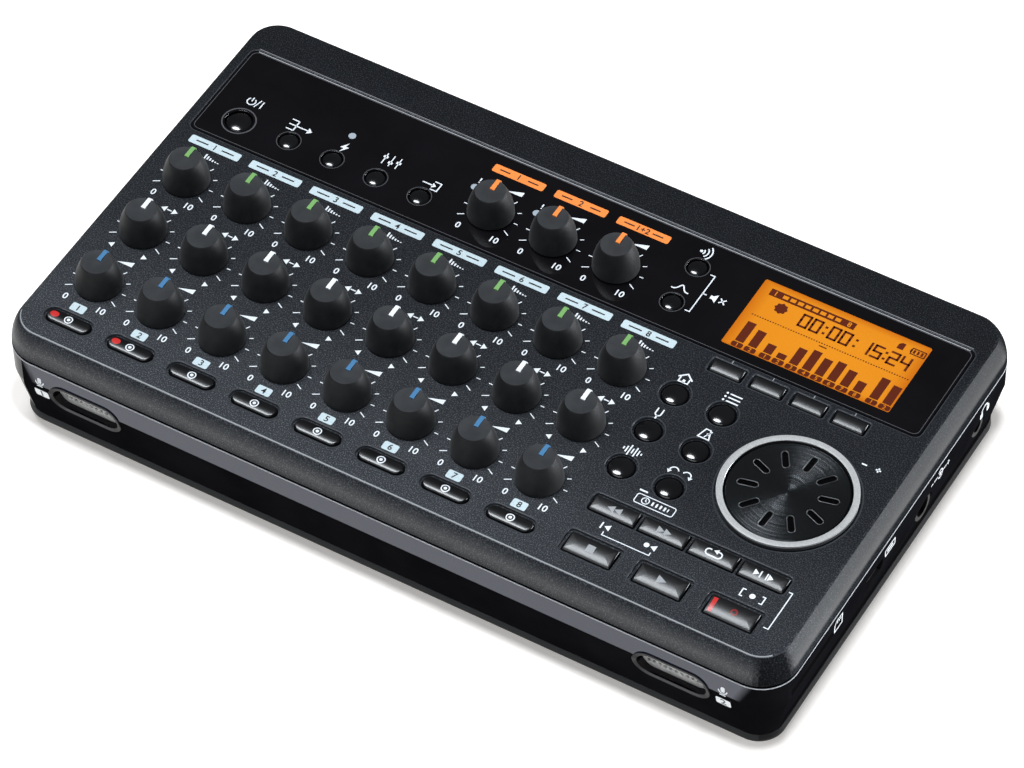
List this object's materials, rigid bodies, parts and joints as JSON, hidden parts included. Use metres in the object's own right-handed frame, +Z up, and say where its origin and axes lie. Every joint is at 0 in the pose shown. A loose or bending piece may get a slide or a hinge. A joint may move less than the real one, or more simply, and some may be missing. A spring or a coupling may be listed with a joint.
{
  "type": "digital multitrack recorder",
  "caption": "Low tabletop multitrack recorder: rolled-edge case, rows of dials and track keys, lit display behind a gloss panel, data wheel, transport keys, front mics and battery bay.",
  "frame": {"origin": "on the floor plane under the middle of the case, where the feet stand", "axes": "+X to the right of the front, +Y to the rear where the inputs are, +Z up"},
  "size_m": [0.221, 0.1268, 0.0438],
  "materials": {
    "top_cover": "fine speckled matte",
    "bottom_cover": "gloss",
    "display_panel": "gloss",
    "lcd_module": "backlit",
    "main_board": "solder mask",
    "data_wheel": "satin with a bright ring",
    "potentiometers": "satin",
    "tact_switches": "matte",
    "indicator_leds": "clear red",
    "combo_input_jacks": "satin",
    "line_out_jacks": "satin",
    "phones_jack": "satin",
    "dc_inlet": "satin",
    "usb_socket": "bright",
    "card_socket": "satin",
    "mic_capsules": "satin",
    "mic_grilles": "woven mesh",
    "battery_contacts": "bright",
    "case_screws": "zinc",
    "rubber_feet": "matte",
    "battery_door": "satin",
    "knob": "soft touch",
    "key": "gloss"
  },
  "bodies": {
    "chassis": {"top_cover": "top_cover", "bottom_cover": "bottom_cover", "display_panel": "display_panel", "lcd_module": "lcd_module", "main_board": "main_board", "potentiometers": "potentiometers", "tact_switches": "tact_switches", "indicator_leds": "indicator_leds", "combo_input_jacks": "combo_input_jacks", "line_out_jacks": "line_out_jacks", "phones_jack": "phones_jack", "dc_inlet": "dc_inlet", "usb_socket": "usb_socket", "card_socket": "card_socket", "mic_capsules": "mic_capsules", "mic_grilles": "mic_grilles", "battery_contacts": "battery_contacts", "case_screws": "case_screws", "rubber_feet": "rubber_feet"},
    "reverb_knob_1": {"reverb_knob_1": "knob"},
    "reverb_knob_2": {"reverb_knob_2": "knob"},
    "reverb_knob_3": {"reverb_knob_3": "knob"},
    "reverb_knob_4": {"reverb_knob_4": "knob"},
    "reverb_knob_5": {"reverb_knob_5": "knob"},
    "reverb_knob_6": {"reverb_knob_6": "knob"},
    "reverb_knob_7": {"reverb_knob_7": "knob"},
    "reverb_knob_8": {"reverb_knob_8": "knob"},
    "pan_knob_1": {"pan_knob_1": "knob"},
    "pan_knob_2": {"pan_knob_2": "knob"},
    "pan_knob_3": {"pan_knob_3": "knob"},
    "pan_knob_4": {"pan_knob_4": "knob"},
    "pan_knob_5": {"pan_knob_5": "knob"},
    "pan_knob_6": {"pan_knob_6": "knob"},
    "pan_knob_7": {"pan_knob_7": "knob"},
    "pan_knob_8": {"pan_knob_8": "knob"},
    "level_knob_1": {"level_knob_1": "knob"},
    "level_knob_2": {"level_knob_2": "knob"},
    "level_knob_3": {"level_knob_3": "knob"},
    "level_knob_4": {"level_knob_4": "knob"},
    "level_knob_5": {"level_knob_5": "knob"},
    "level_knob_6": {"level_knob_6": "knob"},
    "level_knob_7": {"level_knob_7": "knob"},
    "level_knob_8": {"level_knob_8": "knob"},
    "input_a_trim_knob": {"input_a_trim_knob": "knob"},
    "input_b_trim_knob": {"input_b_trim_knob": "knob"},
    "master_level_knob": {"master_level_knob": "knob"},
    "data_wheel": {"data_wheel": "data_wheel"},
    "power_button": {"power_button": "key"},
    "stop_key": {"stop_key": "key"},
    "play_key": {"play_key": "key"},
    "record_key": {"record_key": "key"},
    "rewind_key": {"rewind_key": "key"},
    "forward_key": {"forward_key": "key"},
    "repeat_key": {"repeat_key": "key"},
    "in_out_key": {"in_out_key": "key"},
    "track_arm_keys": {"track_arm_keys": "key"},
    "menu_buttons": {"menu_buttons": "key"},
    "panel_buttons": {"panel_buttons": "key"},
    "soft_keys": {"soft_keys": "key"},
    "battery_door": {"battery_door": "battery_door"}
  },
  "joints": [
    {"name": "reverb_knob_1_turn", "type": "hinge", "parent": "chassis", "child": "reverb_knob_1", "pos_m": [-0.0951, 0.0015, 0.036], "axis": [0, 0, -1], "range_deg": [-140, 140]},
    {"name": "reverb_knob_2_turn", "type": "hinge", "parent": "chassis", "child": "reverb_knob_2", "pos_m": [-0.077, 0.0015, 0.036], "axis": [0, 0, -1], "range_deg": [-140, 140]},
    {"name": "reverb_knob_3_turn", "type": "hinge", "parent": "chassis", "child": "reverb_knob_3", "pos_m": [-0.0589, 0.0015, 0.036], "axis": [0, 0, -1], "range_deg": [-140, 140]},
    {"name": "reverb_knob_4_turn", "type": "hinge", "parent": "chassis", "child": "reverb_knob_4", "pos_m": [-0.0408, 0.0015, 0.036], "axis": [0, 0, -1], "range_deg": [-140, 140]},
    {"name": "reverb_knob_5_turn", "type": "hinge", "parent": "chassis", "child": "reverb_knob_5", "pos_m": [-0.0227, 0.0015, 0.036], "axis": [0, 0, -1], "range_deg": [-140, 140]},
    {"name": "reverb_knob_6_turn", "type": "hinge", "parent": "chassis", "child": "reverb_knob_6", "pos_m": [-0.0046, 0.0015, 0.036], "axis": [0, 0, -1], "range_deg": [-140, 140]},
    {"name": "reverb_knob_7_turn", "type": "hinge", "parent": "chassis", "child": "reverb_knob_7", "pos_m": [0.0135, 0.0015, 0.036], "axis": [0, 0, -1], "range_deg": [-140, 140]},
    {"name": "reverb_knob_8_turn", "type": "hinge", "parent": "chassis", "child": "reverb_knob_8", "pos_m": [0.0316, 0.0015, 0.036], "axis": [0, 0, -1], "range_deg": [-140, 140]},
    {"name": "pan_knob_1_turn", "type": "hinge", "parent": "chassis", "child": "pan_knob_1", "pos_m": [-0.0951, -0.0187, 0.036], "axis": [0, 0, -1], "range_deg": [-140, 140]},
    {"name": "pan_knob_2_turn", "type": "hinge", "parent": "chassis", "child": "pan_knob_2", "pos_m": [-0.077, -0.0187, 0.036], "axis": [0, 0, -1], "range_deg": [-140, 140]},
    {"name": "pan_knob_3_turn", "type": "hinge", "parent": "chassis", "child": "pan_knob_3", "pos_m": [-0.0589, -0.0187, 0.036], "axis": [0, 0, -1], "range_deg": [-140, 140]},
    {"name": "pan_knob_4_turn", "type": "hinge", "parent": "chassis", "child": "pan_knob_4", "pos_m": [-0.0408, -0.0187, 0.036], "axis": [0, 0, -1], "range_deg": [-140, 140]},
    {"name": "pan_knob_5_turn", "type": "hinge", "parent": "chassis", "child": "pan_knob_5", "pos_m": [-0.0227, -0.0187, 0.036], "axis": [0, 0, -1], "range_deg": [-140, 140]},
    {"name": "pan_knob_6_turn", "type": "hinge", "parent": "chassis", "child": "pan_knob_6", "pos_m": [-0.0046, -0.0187, 0.036], "axis": [0, 0, -1], "range_deg": [-140, 140]},
    {"name": "pan_knob_7_turn", "type": "hinge", "parent": "chassis", "child": "pan_knob_7", "pos_m": [0.0135, -0.0187, 0.036], "axis": [0, 0, -1], "range_deg": [-140, 140]},
    {"name": "pan_knob_8_turn", "type": "hinge", "parent": "chassis", "child": "pan_knob_8", "pos_m": [0.0316, -0.0187, 0.036], "axis": [0, 0, -1], "range_deg": [-140, 140]},
    {"name": "level_knob_1_turn", "type": "hinge", "parent": "chassis", "child": "level_knob_1", "pos_m": [-0.0951, -0.0389, 0.036], "axis": [0, 0, -1], "range_deg": [-140, 140]},
    {"name": "level_knob_2_turn", "type": "hinge", "parent": "chassis", "child": "level_knob_2", "pos_m": [-0.077, -0.0389, 0.036], "axis": [0, 0, -1], "range_deg": [-140, 140]},
    {"name": "level_knob_3_turn", "type": "hinge", "parent": "chassis", "child": "level_knob_3", "pos_m": [-0.0589, -0.0389, 0.036], "axis": [0, 0, -1], "range_deg": [-140, 140]},
    {"name": "level_knob_4_turn", "type": "hinge", "parent": "chassis", "child": "level_knob_4", "pos_m": [-0.0408, -0.0389, 0.036], "axis": [0, 0, -1], "range_deg": [-140, 140]},
    {"name": "level_knob_5_turn", "type": "hinge", "parent": "chassis", "child": "level_knob_5", "pos_m": [-0.0227, -0.0389, 0.036], "axis": [0, 0, -1], "range_deg": [-140, 140]},
    {"name": "level_knob_6_turn", "type": "hinge", "parent": "chassis", "child": "level_knob_6", "pos_m": [-0.0046, -0.0389, 0.036], "axis": [0, 0, -1], "range_deg": [-140, 140]},
    {"name": "level_knob_7_turn", "type": "hinge", "parent": "chassis", "child": "level_knob_7", "pos_m": [0.0135, -0.0389, 0.036], "axis": [0, 0, -1], "range_deg": [-140, 140]},
    {"name": "level_knob_8_turn", "type": "hinge", "parent": "chassis", "child": "level_knob_8", "pos_m": [0.0316, -0.0389, 0.036], "axis": [0, 0, -1], "range_deg": [-140, 140]},
    {"name": "input_a_trim_knob_turn", "type": "hinge", "parent": "chassis", "child": "input_a_trim_knob", "pos_m": [-0.0224, 0.02995, 0.036], "axis": [0, 0, -1], "range_deg": [-140, 140]},
    {"name": "input_b_trim_knob_turn", "type": "hinge", "parent": "chassis", "child": "input_b_trim_knob", "pos_m": [-0.0043, 0.02995, 0.036], "axis": [0, 0, -1], "range_deg": [-140, 140]},
    {"name": "master_level_knob_turn", "type": "hinge", "parent": "chassis", "child": "master_level_knob", "pos_m": [0.0138, 0.02995, 0.036], "axis": [0, 0, -1], "range_deg": [-140, 140]},
    {"name": "data_wheel_turn", "type": "hinge", "parent": "chassis", "child": "data_wheel", "pos_m": [0.0858, -0.0132, 0.036], "axis": [0, 0, -1], "continuous": true},
    {"name": "power_button_press", "type": "slide", "parent": "chassis", "child": "power_button", "axis": [0, 0, -1], "range_m": [0, 0.0005], "stiffness_N_per_m": 600, "springref_m": -0.0003},
    {"name": "stop_key_press", "type": "slide", "parent": "chassis", "child": "stop_key", "axis": [0, 0, -1], "range_m": [0, 0.0005], "stiffness_N_per_m": 600, "springref_m": -0.0003},
    {"name": "play_key_press", "type": "slide", "parent": "chassis", "child": "play_key", "axis": [0, 0, -1], "range_m": [0, 0.0005], "stiffness_N_per_m": 600, "springref_m": -0.0003},
    {"name": "record_key_press", "type": "slide", "parent": "chassis", "child": "record_key", "axis": [0, 0, -1], "range_m": [0, 0.0005], "stiffness_N_per_m": 600, "springref_m": -0.0003},
    {"name": "rewind_key_press", "type": "slide", "parent": "chassis", "child": "rewind_key", "axis": [0, 0, -1], "range_m": [0, 0.0005], "stiffness_N_per_m": 600, "springref_m": -0.0003},
    {"name": "forward_key_press", "type": "slide", "parent": "chassis", "child": "forward_key", "axis": [0, 0, -1], "range_m": [0, 0.0005], "stiffness_N_per_m": 600, "springref_m": -0.0003},
    {"name": "repeat_key_press", "type": "slide", "parent": "chassis", "child": "repeat_key", "axis": [0, 0, -1], "range_m": [0, 0.0005], "stiffness_N_per_m": 600, "springref_m": -0.0003},
    {"name": "in_out_key_press", "type": "slide", "parent": "chassis", "child": "in_out_key", "axis": [0, 0, -1], "range_m": [0, 0.0005], "stiffness_N_per_m": 600, "springref_m": -0.0003},
    {"name": "track_arm_keys_press", "type": "slide", "parent": "chassis", "child": "track_arm_keys", "axis": [0, 0, -1], "range_m": [0, 0.0005], "stiffness_N_per_m": 4800, "springref_m": -0.0003},
    {"name": "menu_buttons_press", "type": "slide", "parent": "chassis", "child": "menu_buttons", "axis": [0, 0, -1], "range_m": [0, 0.0005], "stiffness_N_per_m": 3600, "springref_m": -0.0003},
    {"name": "panel_buttons_press", "type": "slide", "parent": "chassis", "child": "panel_buttons", "axis": [0, 0, -1], "range_m": [0, 0.0005], "stiffness_N_per_m": 3600, "springref_m": -0.0003},
    {"name": "soft_keys_press", "type": "slide", "parent": "chassis", "child": "soft_keys", "axis": [0, 0, -1], "range_m": [0, 0.0005], "stiffness_N_per_m": 2400, "springref_m": -0.0003},
    {"name": "battery_door_swing", "type": "hinge", "parent": "chassis", "child": "battery_door", "pos_m": [-0.0265, 0.0244, 0.0031], "axis": [1, 0, 0], "range_deg": [0, 95]}
  ]
}
